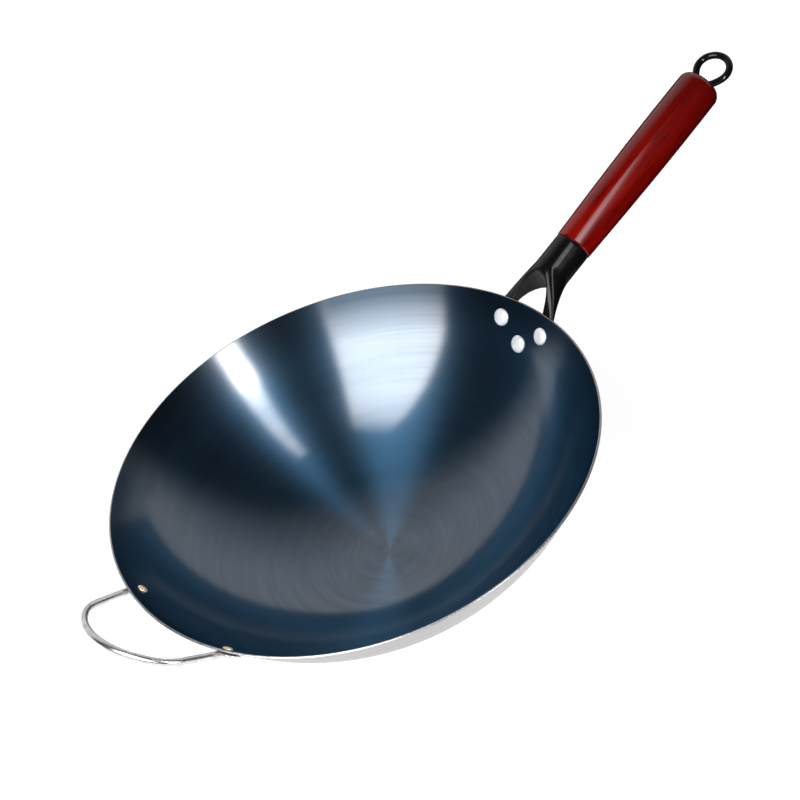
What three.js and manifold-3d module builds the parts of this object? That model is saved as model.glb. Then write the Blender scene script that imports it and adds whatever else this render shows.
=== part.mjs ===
// A round-bottom wok: a spun steel bowl, a forked steel bracket riveted to its wall, a turned wooden
// grip drawn on to the bracket by a tie rod with a hanging eye, and a riveted wire helper handle.
// Millimetres, +Z up. The origin is the middle of the small flat under the bowl, and +X is the side
// of the long handle.

import * as THREE from 'three';
import { mergeVertices } from 'three/addons/utils/BufferGeometryUtils.js';
import Module from 'manifold-3d';

const wasm = await Module();
wasm.setup();

// Bowl
const RIM_RADIUS = 170;
const BOWL_HEIGHT = 93;
const SHEET = 1.5;
const FLARE_DEG = 55;
const BASE_FLAT_RADIUS = 20;
const BOWL_SIDES = 80;
const BOWL_ARC_STEPS = 14;
const BOWL_CONE_STEPS = 3;

// Clearance kept between neighbouring pieces
const GAP = 0.3;

// Rivets of the long handle: two beside each other near the rim and one below them
const RIVET_SHANK_RADIUS = 2.5;
const RIVET_HEAD_RADIUS = 6.1;
const RIVET_HEAD_HEIGHT = 2.2;
const RIVET_TAIL_RADIUS = 4.4;
const RIVET_TAIL_HEIGHT = 1.8;
const UPPER_RIVETS_FROM_RIM = 14.6;
const UPPER_RIVETS_SPACING = 39.4;
const LOWER_RIVET_FROM_RIM = 28.1;
const RIVET_SIDES = 16;

// Bracket: the saddle plate on the wall, the fork pressed from a tube, and the ferrule
const SADDLE_THICKNESS = 2;
const SADDLE_MARGIN = 8.5;
const FERRULE_RADIUS = 13.1;
const FERRULE_WALL = 1.5;
const FERRULE_LENGTH = 23;
const BULKHEAD = 3;
const FORK_LENGTH = 29;
const FORK_FOOT_FROM_RIM = 8;
const FORK_FOOT_HALF_WIDTH = 27;
const FORK_FOOT_HALF_HEIGHT = 3;
const FORK_STATIONS = 10;
const FORK_GAP_FROM_FERRULE = 7.3;
const FORK_GAP_FULLNESS = 17.2;
const FORK_GAP_END_HALF_WIDTH = 15.2;
const FORK_GAP_PAST_RIM = 16.4;
const ROUND_SIDES = 36;

// Axis of the long handle: it rises from a point just above the rim
const HANDLE_RISE_DEG = 14.3;
const HANDLE_ABOVE_RIM = 1.9;

// Wooden grip
const GRIP_LENGTH = 151.5;
const GRIP_NECK_RADIUS = 13.5;
const GRIP_SWELL_RADIUS = 15.7;
const GRIP_SWELL_AT = 118;
const GRIP_END_ROUND = 7;
const TENON_TO_NUT = 2.4;

// Tie rod, its eye and its nut
const ROD_RADIUS = 2.5;
const EYE_HALF_WIDTH = 12.1;
const EYE_HALF_LENGTH = 10.9;
const EYE_TURN_DEG = 20;
const EYE_STEPS = 30;
const ROD_SIDES = 12;
const NUT_ACROSS_FLATS = 10;
const NUT_HEIGHT = 5;

// Helper handle: a wire loop with flattened ends
const WIRE_RADIUS = 2.5;
const WIRE_SIDES = 12;
const HELPER_RIVETS_FROM_RIM = 13.1;
const HELPER_RIVETS_SPACING = 92.8;
const HELPER_RISE_DEG = 34;
const LOOP_REACH = 66;
const LOOP_CORNER_HALF_WIDTH = 43.8;
const LOOP_BOW_RISE = 25.6;
const LOOP_CORNER_RADIUS = 6.6;
const PADDLE_HALF_WIDTH = 9;
const PADDLE_THICKNESS = 1.6;
const PADDLE_TIP = 10;
const HELPER_SHANK_RADIUS = 2;
const HELPER_HEAD_RADIUS = 3.6;
const HELPER_HEAD_HEIGHT = 1.6;

const flare = THREE.MathUtils.degToRad(FLARE_DEG);
const rise = THREE.MathUtils.degToRad(HANDLE_RISE_DEG);
const helperRise = THREE.MathUtils.degToRad(HELPER_RISE_DEG);

// Materials
const steelBlued = new THREE.MeshStandardMaterial({ color: 0x1b2b40, metalness: 1, roughness: 0.32 });
const steelBlack = new THREE.MeshStandardMaterial({ color: 0x0b0b0c, metalness: 0.2, roughness: 0.25 });
const woodRed = new THREE.MeshStandardMaterial({ color: 0x6e0f0a, metalness: 0, roughness: 0.3 });
const steelBright = new THREE.MeshStandardMaterial({ color: 0xd2d3d6, metalness: 1, roughness: 0.18 });
const steelZinc = new THREE.MeshStandardMaterial({ color: 0xa9acae, metalness: 1, roughness: 0.45 });
const aluminium = new THREE.MeshStandardMaterial({ color: 0xe4e6e9, metalness: 1, roughness: 0.4 });
const brass = new THREE.MeshStandardMaterial({ color: 0xc79a5a, metalness: 1, roughness: 0.3 });

// Solids

// A closed geometry as a manifold solid.
function solid(geometry) {
  const bare = new THREE.BufferGeometry();
  bare.setAttribute('position', geometry.getAttribute('position').clone());
  bare.setIndex(geometry.index);
  const merged = mergeVertices(bare, 1e-4);
  const index = merged.index.array;
  const triangles = [];
  for (let i = 0; i < index.length; i += 3) {
    const [a, b, c] = [index[i], index[i + 1], index[i + 2]];
    if (a !== b && b !== c && c !== a) triangles.push(a, b, c);
  }
  return new wasm.Manifold(
    new wasm.Mesh({
      numProp: 3,
      vertProperties: new Float32Array(merged.attributes.position.array),
      triVerts: new Uint32Array(triangles),
    }),
  );
}

function geometryOf(manifold) {
  const mesh = manifold.getMesh();
  const geometry = new THREE.BufferGeometry();
  geometry.setAttribute('position', new THREE.BufferAttribute(mesh.vertProperties, 3));
  geometry.setIndex(new THREE.BufferAttribute(mesh.triVerts, 1));
  geometry.computeVertexNormals();
  return geometry;
}

function piece(name, manifold, material) {
  const mesh = new THREE.Mesh(geometryOf(manifold), material);
  mesh.name = name;
  return mesh;
}

// A profile of (radius, height) points turned about Z, or about X when asked.
function turned(points, sides, axis = 'z') {
  const geometry = new THREE.LatheGeometry(points, sides);
  if (axis === 'z') geometry.rotateX(Math.PI / 2);
  else geometry.rotateZ(-Math.PI / 2);
  return geometry;
}

function cylinder(radius, length, sides = ROUND_SIDES) {
  return new THREE.CylinderGeometry(radius, radius, length, sides);
}

// A skin through rings of points of equal count, with flat ends, or joined end to start.
function loft(rings, closed = false) {
  const count = rings[0].length;
  const positions = rings.flat().flatMap((p) => [p.x, p.y, p.z]);
  const index = [];
  const spans = closed ? rings.length : rings.length - 1;
  for (let i = 0; i < spans; i++) {
    const near = i * count;
    const far = ((i + 1) % rings.length) * count;
    for (let j = 0; j < count; j++) {
      const k = (j + 1) % count;
      index.push(near + j, near + k, far + k, near + j, far + k, far + j);
    }
  }
  if (!closed) {
    const last = (rings.length - 1) * count;
    for (let j = 1; j < count - 1; j++) {
      index.push(0, j + 1, j, last, last + j, last + j + 1);
    }
  }
  const geometry = new THREE.BufferGeometry();
  geometry.setAttribute('position', new THREE.Float32BufferAttribute(positions, 3));
  geometry.setIndex(index);
  return geometry;
}

// One ring of a loft: an oval of half sizes a along across and b along up. A power above 2 makes it
// squarer.
function oval(centre, across, up, a, b, sides, power = 2) {
  const full = (v) => Math.sign(v) * Math.pow(Math.abs(v), 2 / power);
  return Array.from({ length: sides }, (_, i) => {
    const t = (2 * Math.PI * i) / sides;
    const side = centre.clone().addScaledVector(across, a * full(Math.cos(t)));
    return side.addScaledVector(up, b * full(Math.sin(t)));
  });
}

// Bowl wall

// The bottom arc is tangent to the base flat and to the straight flared wall.
const bowlArcRadius =
  ((RIM_RADIUS - BASE_FLAT_RADIUS) * Math.tan(flare) - BOWL_HEIGHT) / (1 / Math.cos(flare) - 1);
const coneFoot = new THREE.Vector2(
  BASE_FLAT_RADIUS + bowlArcRadius * Math.sin(flare),
  bowlArcRadius * (1 - Math.cos(flare)),
);
const rimPoint = new THREE.Vector2(RIM_RADIUS, BOWL_HEIGHT);
const coneLength = coneFoot.distanceTo(rimPoint);

// The wall's slope at a distance from the rim, measured down the wall.
function wallSlope(fromRim) {
  return flare - Math.max(0, fromRim - coneLength) / bowlArcRadius;
}

// The outer wall at a distance from the rim, moved outwards by offset.
function wallPoint(fromRim, offset = 0) {
  const slope = wallSlope(fromRim);
  const point = new THREE.Vector2(
    BASE_FLAT_RADIUS + bowlArcRadius * Math.sin(slope),
    bowlArcRadius * (1 - Math.cos(slope)),
  );
  if (fromRim < coneLength) {
    point.set(RIM_RADIUS - fromRim * Math.cos(flare), BOWL_HEIGHT - fromRim * Math.sin(flare));
  }
  return point.add(new THREE.Vector2(Math.sin(slope), -Math.cos(slope)).multiplyScalar(offset));
}

// Profile points of the wall from the base flat up to the rim, moved outwards by offset.
function wallProfile(offset) {
  const points = [];
  const arcLength = bowlArcRadius * flare;
  for (let i = 0; i <= BOWL_ARC_STEPS; i++) {
    points.push(wallPoint(coneLength + arcLength * (1 - i / BOWL_ARC_STEPS), offset));
  }
  for (let i = 1; i <= BOWL_CONE_STEPS; i++) {
    points.push(wallPoint(coneLength * (1 - i / BOWL_CONE_STEPS), offset));
  }
  return points;
}

// A place on the outer wall, given by its sideways distance y from the XZ plane, on the handle's
// side (+1) or the helper's side (-1), with the ways out of the wall and up the wall there.
function wallPlace(fromRim, y, side) {
  const p = wallPoint(fromRim);
  const slope = wallSlope(fromRim);
  const angle = Math.asin(y / p.x);
  const around = new THREE.Vector3(side * Math.cos(angle), Math.sin(angle), 0);
  const outwards = around.clone().multiplyScalar(Math.sin(slope)).setZ(-Math.cos(slope));
  const upWall = around.clone().multiplyScalar(Math.cos(slope)).setZ(Math.sin(slope));
  const point = around.multiplyScalar(p.x).setZ(p.y);
  return { point, outwards, upWall };
}

const rivetPlaces = [
  ['handle_rivet_left', wallPlace(UPPER_RIVETS_FROM_RIM, UPPER_RIVETS_SPACING / 2, 1)],
  ['handle_rivet_right', wallPlace(UPPER_RIVETS_FROM_RIM, -UPPER_RIVETS_SPACING / 2, 1)],
  ['handle_rivet_lower', wallPlace(LOWER_RIVET_FROM_RIM, 0, 1)],
];
const helperRivetPlaces = [
  ['helper_rivet_left', wallPlace(HELPER_RIVETS_FROM_RIM, HELPER_RIVETS_SPACING / 2, -1)],
  ['helper_rivet_right', wallPlace(HELPER_RIVETS_FROM_RIM, -HELPER_RIVETS_SPACING / 2, -1)],
];

// A cylinder square to the wall at a place, between two distances outwards from the outer wall.
function wallCylinder({ point, outwards }, radius, from, to) {
  const drill = cylinder(radius, to - from, RIVET_SIDES);
  drill.translate(0, (from + to) / 2, 0);
  drill.applyQuaternion(new THREE.Quaternion().setFromUnitVectors(new THREE.Vector3(0, 1, 0), outwards));
  drill.translate(point.x, point.y, point.z);
  return solid(drill);
}

// The hole for a rivet's shank, through the wall and what lies on it.
function wallHole(place, shankRadius) {
  const through = 2 * (SHEET + SADDLE_THICKNESS);
  return wallCylinder(place, shankRadius + GAP, -through, through);
}

// The room that a rivet's tail and its setting tool need outside the plate that it holds.
function tailRoom(place, tailRadius, plate) {
  const from = GAP + plate;
  return wallCylinder(place, tailRadius + 2 * GAP, from, from + FERRULE_RADIUS);
}

function makeBowl() {
  const outside = wallProfile(0);
  const inside = wallProfile(-SHEET);
  const lip = wallPoint(-SHEET / 3, -SHEET / 2);
  const axis = (z) => new THREE.Vector2(0, z);
  const profile = [axis(0), ...outside, lip, ...inside.reverse(), axis(SHEET)];
  let bowl = solid(turned(profile, BOWL_SIDES));
  for (const [, place] of rivetPlaces) bowl = bowl.subtract(wallHole(place, RIVET_SHANK_RADIUS));
  for (const [, place] of helperRivetPlaces) bowl = bowl.subtract(wallHole(place, HELPER_SHANK_RADIUS));
  return piece('wok_bowl', bowl, steelBlued);
}

// Everything inside the wall and above it, which no piece on the outside may enter.
function bowlEnvelope() {
  const above = wallPoint(-RIM_RADIUS, GAP);
  const profile = [
    new THREE.Vector2(0, -GAP),
    ...wallProfile(GAP),
    above,
    new THREE.Vector2(0, above.y),
  ];
  return solid(turned(profile, BOWL_SIDES));
}

// A rivet along its own +Z, which points into the bowl: a domed head on the inner wall, the shank
// and the tail that is set down on the outside. Its zero is the outer wall. The head's edge meets
// the hollow wall first, so the head stands off by the wall's sag across it.
function makeRivet(name, place, size, material) {
  const dome = (radius, height, base, sign) => {
    const steps = 4;
    return Array.from({ length: steps + 1 }, (_, i) => {
      const t = (Math.PI / 2) * (i / steps);
      return new THREE.Vector2(radius * Math.cos(t), base + sign * height * Math.sin(t));
    });
  };
  const sag = size.headRadius ** 2 / (2 * bowlArcRadius);
  const headBase = SHEET + GAP + sag;
  const tailBase = -(size.stack + GAP);
  const tail = dome(size.tailRadius, size.tailHeight, tailBase, -1).reverse();
  const head = dome(size.headRadius, size.headHeight, headBase, 1);
  tail[0].x = 0;
  head[head.length - 1].x = 0;
  const profile = [
    ...tail,
    new THREE.Vector2(size.shankRadius, tailBase),
    new THREE.Vector2(size.shankRadius, headBase),
    ...head,
  ];
  const mesh = piece(name, solid(turned(profile, RIVET_SIDES)), material);
  mesh.position.copy(place.point);
  mesh.quaternion.setFromUnitVectors(new THREE.Vector3(0, 0, -1), place.outwards);
  return mesh;
}

const handleRivet = {
  shankRadius: RIVET_SHANK_RADIUS,
  headRadius: RIVET_HEAD_RADIUS,
  headHeight: RIVET_HEAD_HEIGHT,
  tailRadius: RIVET_TAIL_RADIUS,
  tailHeight: RIVET_TAIL_HEIGHT,
  stack: GAP + SADDLE_THICKNESS,
};
const helperRivet = {
  shankRadius: HELPER_SHANK_RADIUS,
  headRadius: HELPER_HEAD_RADIUS,
  headHeight: HELPER_HEAD_HEIGHT,
  tailRadius: HELPER_HEAD_RADIUS,
  tailHeight: HELPER_HEAD_HEIGHT,
  stack: GAP + PADDLE_THICKNESS,
};

// Long handle

// The handle's own frame: +X along its axis from the mouth of the ferrule, +Z up.
const handleGroup = new THREE.Group();
const handleRun = FORK_LENGTH + FERRULE_LENGTH;
handleGroup.position.set(
  RIM_RADIUS + handleRun * Math.cos(rise),
  0,
  BOWL_HEIGHT + HANDLE_ABOVE_RIM + handleRun * Math.sin(rise),
);
handleGroup.rotation.y = -rise;
handleGroup.updateMatrix();

function inHandleFrame(geometry) {
  return geometry.applyMatrix4(handleGroup.matrix);
}

// The stamped plate that lies on the outer wall under the three rivets.
function saddle() {
  const shellSteps = 8;
  const reach = LOWER_RIVET_FROM_RIM + 2 * SADDLE_MARGIN;
  const along = Array.from({ length: shellSteps + 1 }, (_, i) => (reach * i) / shellSteps);
  const profile = [
    ...along.map((d) => wallPoint(d, GAP + SADDLE_THICKNESS)).reverse(),
    ...along.map((d) => wallPoint(d, GAP)),
  ];
  profile.push(profile[0].clone());
  const shell = solid(turned(profile, BOWL_SIDES));

  // Outline in the wall's own plane: y sideways and distance from the rim, round each rivet.
  const corners = [
    new THREE.Vector2(-UPPER_RIVETS_SPACING / 2, UPPER_RIVETS_FROM_RIM),
    new THREE.Vector2(UPPER_RIVETS_SPACING / 2, UPPER_RIVETS_FROM_RIM),
    new THREE.Vector2(0, LOWER_RIVET_FROM_RIM),
  ];
  const outline = new THREE.Shape();
  corners.forEach((corner, i) => {
    const before = corners[(i + 2) % 3];
    const after = corners[(i + 1) % 3];
    const first = corner.clone().sub(before).angle() - Math.PI / 2;
    const second = after.clone().sub(corner).angle() - Math.PI / 2;
    outline.absarc(corner.x, corner.y, SADDLE_MARGIN, first, second, false);
  });
  const depth = 8 * SADDLE_THICKNESS;
  const block = new THREE.ExtrudeGeometry(outline, { depth, bevelEnabled: false, curveSegments: 24 });
  const down = new THREE.Vector3(-Math.cos(flare), 0, -Math.sin(flare));
  const inwards = new THREE.Vector3(-Math.sin(flare), 0, Math.cos(flare));
  const start = new THREE.Vector3(RIM_RADIUS, 0, BOWL_HEIGHT).addScaledVector(inwards, -depth / 2);
  block.applyMatrix4(
    new THREE.Matrix4().makeBasis(new THREE.Vector3(0, 1, 0), down, inwards).setPosition(start),
  );
  return shell.intersect(solid(block));
}

// The body of the ferrule and the fork. Its line leaves the ferrule straight and drops to the wall.
// It starts as the ferrule's round and is pressed wide and flat towards the foot.
function forkBody() {
  const start = -FERRULE_LENGTH;
  const wall = wallPlace(FORK_FOOT_FROM_RIM, 0, 1).point;
  const foot = wall.applyMatrix4(handleGroup.matrix.clone().invert());
  const end = foot.x - 3 * SADDLE_THICKNESS;
  const across = new THREE.Vector3(0, -1, 0);
  const up = new THREE.Vector3(0, 0, 1);
  const rings = [oval(new THREE.Vector3(), across, up, FERRULE_RADIUS, FERRULE_RADIUS, ROUND_SIDES)];
  for (let i = 0; i < FORK_STATIONS; i++) {
    const x = THREE.MathUtils.lerp(start, end, i / (FORK_STATIONS - 1));
    const run = (x - start) / (foot.x - start);
    const press = Math.min(1, run) ** 2 * (3 - 2 * Math.min(1, run));
    const centre = new THREE.Vector3(x, 0, foot.z * run * run);
    const a = THREE.MathUtils.lerp(FERRULE_RADIUS, FORK_FOOT_HALF_WIDTH, Math.pow(run, 1.15));
    const b = THREE.MathUtils.lerp(FERRULE_RADIUS, FORK_FOOT_HALF_HEIGHT, press);
    rings.push(oval(centre, across, up, a, b, ROUND_SIDES, 2 + 0.6 * press));
  }
  return solid(inHandleFrame(loft(rings)));
}

// The gap between the legs: an upright arch right through the fork, with a blunt top near the
// ferrule, open towards the bowl.
function forkGap() {
  const apex = -FERRULE_LENGTH - FORK_GAP_FROM_FERRULE;
  const open = -(FERRULE_LENGTH + FORK_LENGTH + FORK_GAP_PAST_RIM);
  const pull = (4 * apex - open) / 3;
  const end = FORK_GAP_END_HALF_WIDTH;
  const outline = new THREE.Shape();
  outline.moveTo(open, -end);
  outline.bezierCurveTo(pull, -FORK_GAP_FULLNESS, pull, FORK_GAP_FULLNESS, open, end);
  outline.lineTo(open, -end);
  const depth = 4 * FERRULE_RADIUS;
  const block = new THREE.ExtrudeGeometry(outline, { depth, bevelEnabled: false, curveSegments: 20 });
  block.translate(0, 0, -depth / 2);
  return solid(inHandleFrame(block));
}

function makeBracket() {
  const bore = cylinder(FERRULE_RADIUS - FERRULE_WALL, FERRULE_LENGTH).rotateZ(Math.PI / 2);
  bore.translate(-FERRULE_LENGTH / 2 + BULKHEAD, 0, 0);
  let bracket = forkBody().subtract(forkGap()).add(saddle());
  bracket = bracket.subtract(bowlEnvelope()).subtract(solid(inHandleFrame(bore)));
  for (const [, place] of rivetPlaces) {
    bracket = bracket.subtract(wallHole(place, RIVET_SHANK_RADIUS));
    bracket = bracket.subtract(tailRoom(place, RIVET_TAIL_RADIUS, SADDLE_THICKNESS));
  }
  return piece('handle_bracket', bracket, steelBlack);
}

function makeGrip() {
  const tenonRadius = FERRULE_RADIUS - FERRULE_WALL - GAP;
  const tenonLength = FERRULE_LENGTH - BULKHEAD - NUT_HEIGHT - 2 * GAP - TENON_TO_NUT;
  const boreRadius = ROD_RADIUS + GAP;
  const roundSteps = 5;
  const swellSteps = 8;
  const points = [
    new THREE.Vector2(boreRadius, -tenonLength),
    new THREE.Vector2(tenonRadius, -tenonLength),
    new THREE.Vector2(tenonRadius, GAP),
  ];
  const endRoundAt = GRIP_LENGTH - GRIP_END_ROUND;
  for (let i = 0; i <= swellSteps; i++) {
    const x = GAP + ((endRoundAt - GAP) * i) / swellSteps;
    const swell = Math.sin((Math.PI / 2) * Math.min(1.25, x / GRIP_SWELL_AT));
    points.push(new THREE.Vector2(THREE.MathUtils.lerp(GRIP_NECK_RADIUS, GRIP_SWELL_RADIUS, swell), x));
  }
  const shoulder = points[points.length - 1].x;
  for (let i = 1; i <= roundSteps; i++) {
    const t = (Math.PI / 2) * (i / roundSteps);
    points.push(
      new THREE.Vector2(
        shoulder - GRIP_END_ROUND * (1 - Math.cos(t)),
        endRoundAt + GRIP_END_ROUND * Math.sin(t),
      ),
    );
  }
  points.push(new THREE.Vector2(boreRadius, GRIP_LENGTH), points[0].clone());
  return piece('wooden_grip', solid(turned(points, ROUND_SIDES, 'x')), woodRed);
}

// The rod runs from the nut through the grip and ends in an oval eye that bears on the grip's end.
function makeTieRod() {
  const eyeCentre = GRIP_LENGTH + GAP + ROD_RADIUS + EYE_HALF_LENGTH;
  const rodStart = -FERRULE_LENGTH + BULKHEAD + 2 * GAP;
  const rodEnd = eyeCentre - EYE_HALF_LENGTH;
  const rod = cylinder(ROD_RADIUS, rodEnd - rodStart, ROD_SIDES).rotateZ(Math.PI / 2);
  rod.translate((rodStart + rodEnd) / 2, 0, 0);
  const rings = Array.from({ length: EYE_STEPS }, (_, i) => {
    const t = (2 * Math.PI * i) / EYE_STEPS;
    const centre = new THREE.Vector3(EYE_HALF_LENGTH * Math.cos(t), EYE_HALF_WIDTH * Math.sin(t), 0);
    const tangent = new THREE.Vector3(-EYE_HALF_LENGTH * Math.sin(t), EYE_HALF_WIDTH * Math.cos(t), 0);
    const up = new THREE.Vector3(0, 0, 1);
    const across = up.clone().cross(tangent.normalize());
    return oval(centre, across, up, ROD_RADIUS, ROD_RADIUS, ROD_SIDES);
  });
  const eye = loft(rings, true);
  eye.rotateX(THREE.MathUtils.degToRad(EYE_TURN_DEG));
  eye.translate(eyeCentre, 0, 0);
  return piece('tie_rod_eye', solid(rod).add(solid(eye)), steelBlack);
}

// The hexagon nut welded to the bulkhead inside the ferrule.
function makeNut() {
  const blank = cylinder(NUT_ACROSS_FLATS / Math.sqrt(3), NUT_HEIGHT, 6);
  const thread = cylinder(ROD_RADIUS + GAP, 2 * NUT_HEIGHT, ROD_SIDES);
  const nut = solid(blank.rotateZ(Math.PI / 2)).subtract(solid(thread.rotateZ(Math.PI / 2)));
  const mesh = piece('anchor_nut', nut, steelZinc);
  mesh.position.x = -FERRULE_LENGTH + BULKHEAD + GAP + NUT_HEIGHT / 2;
  return mesh;
}

// Helper handle

// One wire with both ends hammered flat on the bowl's outer wall. Its line is a half, mirrored:
// up the wall under the rivet, out along a leg, round the corner and along the bow.
function makeHelper() {
  const place = wallPlace(HELPER_RIVETS_FROM_RIM, HELPER_RIVETS_SPACING / 2, -1);
  const { upWall, outwards } = place;
  const skin = GAP + PADDLE_THICKNESS / 2;
  const out = new THREE.Vector3(-Math.cos(helperRise), 0, Math.sin(helperRise));
  const loopDown = new THREE.Vector3(-Math.sin(helperRise), 0, -Math.cos(helperRise));
  const base = place.point.clone().addScaledVector(outwards, skin);
  const inLoop = (reach, y) => {
    const p = base.clone().addScaledVector(out, reach);
    p.y = y;
    return p;
  };

  const cornerReach = LOOP_REACH - LOOP_BOW_RISE;
  const legEnd = inLoop(cornerReach, LOOP_CORNER_HALF_WIDTH);
  const bowRadius = (LOOP_CORNER_HALF_WIDTH ** 2 + LOOP_BOW_RISE ** 2) / (2 * LOOP_BOW_RISE);
  const bowHalf = Math.asin(LOOP_CORNER_HALF_WIDTH / bowRadius);
  const legStart = base.clone().addScaledVector(upWall, PADDLE_HALF_WIDTH);
  legStart.addScaledVector(outwards, WIRE_RADIUS - PADDLE_THICKNESS / 2);

  // Stations along the line: where, how flat (1 paddle, 0 wire), and the way that faces outwards.
  const stations = [];
  const paddle = (d, flat) => {
    stations.push({ at: base.clone().addScaledVector(upWall, d), flat, facing: outwards.clone() });
  };
  for (const t of [0, 0.25, 0.6, 1]) {
    const width = Math.sqrt(Math.max(0.09, 1 - (1 - t) ** 2));
    paddle(-PADDLE_TIP * (1 - 0.9 * t), 1);
    stations[stations.length - 1].width = width;
  }
  paddle(PADDLE_HALF_WIDTH * 0.35, 0.75);
  stations.push({ at: legStart, flat: 0.15, facing: outwards.clone().lerp(loopDown, 0.4).normalize() });
  const legSteps = 4;
  const legVector = legEnd.clone().sub(legStart);
  const trim = LOOP_CORNER_RADIUS / legVector.length();
  for (let i = 1; i <= legSteps; i++) {
    const t = (i / legSteps) * (1 - trim);
    stations.push({ at: legStart.clone().addScaledVector(legVector, t), flat: 0, facing: loopDown });
  }
  const bowPoint = (t) =>
    inLoop(LOOP_REACH - bowRadius * (1 - Math.cos(bowHalf * t)), bowRadius * Math.sin(bowHalf * t));
  const bowTrim = 1 - LOOP_CORNER_RADIUS / (bowRadius * bowHalf);
  const cornerFrom = stations[stations.length - 1].at;
  const corner = new THREE.QuadraticBezierCurve3(cornerFrom, legEnd, bowPoint(bowTrim));
  const cornerSteps = 5;
  for (let i = 1; i <= cornerSteps; i++) {
    stations.push({ at: corner.getPoint(i / cornerSteps), flat: 0, facing: loopDown });
  }
  const bowSteps = 6;
  for (let i = 1; i <= bowSteps; i++) {
    stations.push({ at: bowPoint(bowTrim * (1 - i / bowSteps)), flat: 0, facing: loopDown });
  }
  const mirrored = (v) => new THREE.Vector3(v.x, -v.y, v.z);
  const other = stations.slice(0, -1).reverse();
  other.forEach((s) => {
    stations.push({ ...s, at: mirrored(s.at), facing: mirrored(s.facing) });
  });

  const rings = stations.map((s, i) => {
    const before = stations[Math.max(0, i - 1)].at;
    const after = stations[Math.min(stations.length - 1, i + 1)].at;
    const along = after.clone().sub(before).normalize();
    const across = s.facing.clone().cross(along).normalize();
    const facing = along.clone().cross(across).normalize();
    const a = THREE.MathUtils.lerp(WIRE_RADIUS, PADDLE_HALF_WIDTH, s.flat) * (s.width ?? 1);
    const b = THREE.MathUtils.lerp(WIRE_RADIUS, PADDLE_THICKNESS / 2, s.flat);
    return oval(s.at, across, facing, a, b, WIRE_SIDES);
  });
  let helper = solid(loft(rings)).subtract(bowlEnvelope());
  for (const [, at] of helperRivetPlaces) {
    helper = helper.subtract(wallHole(at, HELPER_SHANK_RADIUS));
    helper = helper.subtract(tailRoom(at, HELPER_HEAD_RADIUS, PADDLE_THICKNESS));
  }
  return piece('helper_handle', helper, steelBright);
}

const wok = new THREE.Group();
wok.name = 'round_bottom_wok';
wok.add(makeBowl(), makeBracket(), makeHelper());
for (const [name, place] of rivetPlaces) wok.add(makeRivet(name, place, handleRivet, aluminium));
for (const [name, place] of helperRivetPlaces) wok.add(makeRivet(name, place, helperRivet, brass));
handleGroup.add(makeGrip(), makeTieRod(), makeNut());
wok.add(handleGroup);

export default wok;
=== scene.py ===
import math

import bpy
from bpy.props import FloatProperty, FloatVectorProperty, IntProperty, PointerProperty
from mathutils import Matrix, Quaternion, Vector


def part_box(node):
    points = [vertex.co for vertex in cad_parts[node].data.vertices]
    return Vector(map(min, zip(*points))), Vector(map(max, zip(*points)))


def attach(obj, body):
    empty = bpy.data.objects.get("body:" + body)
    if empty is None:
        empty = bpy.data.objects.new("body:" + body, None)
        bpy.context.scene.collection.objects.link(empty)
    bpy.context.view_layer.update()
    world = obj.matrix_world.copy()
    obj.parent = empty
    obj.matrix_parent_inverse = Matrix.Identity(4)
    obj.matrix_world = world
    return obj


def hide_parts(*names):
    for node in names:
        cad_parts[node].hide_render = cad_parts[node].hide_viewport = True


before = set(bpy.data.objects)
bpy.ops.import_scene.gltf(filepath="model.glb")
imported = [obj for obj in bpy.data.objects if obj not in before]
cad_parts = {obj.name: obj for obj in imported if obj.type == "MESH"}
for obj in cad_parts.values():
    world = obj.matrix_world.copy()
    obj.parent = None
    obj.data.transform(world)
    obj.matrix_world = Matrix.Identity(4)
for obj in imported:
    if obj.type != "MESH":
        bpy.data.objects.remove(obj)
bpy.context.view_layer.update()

bl_info = {
    "name": "Round-bottom wok",
    "version": (1, 0, 0),
    "blender": (4, 5, 0),
    "location": "View3D > Sidebar > Wok",
    "description": "Makes the finished pieces of a round-bottom wok around its solids, and a studio for it",
    "category": "Object",
}

BOWL_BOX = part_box("wok_bowl")
BODY = "root"
UP = Vector((0, 0, 1))
# Clearance between pieces that touch, in metres
GAP = 0.0003
# Faces round the ferrule and the grip, round the rod and the eye's wire, and round the helper's wire
ROUND_SIDES = 96
WIRE_SIDES = 24
HELPER_SIDES = 28
# Softboxes: ways from the bowl in degrees, size in metres, then how they narrow and fade upwards.
# A stop of the fade is a share of the height and a share of the brightness.
SOFTBOXES = {
    "left_softbox": {
        "azimuth": -162,
        "elevation": 50,
        "lean": 6,
        "size": (2.04, 1.81),
        "taper": 0.76,
        "edge": 0.86,
        "fade": (
            (0.04, 0.0), (0.13, 1.0), (0.50, 1.0), (0.62, 0.95),
            (0.73, 0.84), (0.84, 0.62), (0.95, 0.26), (1.0, 0.05),
        ),
    },
    "right_softbox": {
        "azimuth": -80,
        "elevation": 46,
        "lean": -13,
        "size": (0.43, 1.90),
        "taper": 0.68,
        "edge": 0.55,
        "fade": (
            (0.0, 1.0), (0.22, 1.0), (0.29, 0.60), (0.345, 0.33),
            (0.52, 0.175), (0.62, 0.155), (0.80, 0.125), (1.0, 0.10),
        ),
    },
}


# Settings

def length(name, description, default):
    """A size in metres that a user can change."""
    return FloatProperty(
        name=name, description=description, default=default, unit="LENGTH", subtype="DISTANCE", precision=4
    )


def angle(name, description, degrees):
    """An angle that a user can change."""
    return FloatProperty(
        name=name, description=description, default=math.radians(degrees), unit="ROTATION", subtype="ANGLE"
    )


def colour(name, description, default):
    """A linear colour that a user can change."""
    return FloatVectorProperty(
        name=name, description=description, default=default, size=3, min=0, max=1, subtype="COLOR"
    )


def brightness(name, description, default):
    """A brightness that a user can change."""
    return FloatProperty(name=name, description=description, default=default, min=0)


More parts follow.
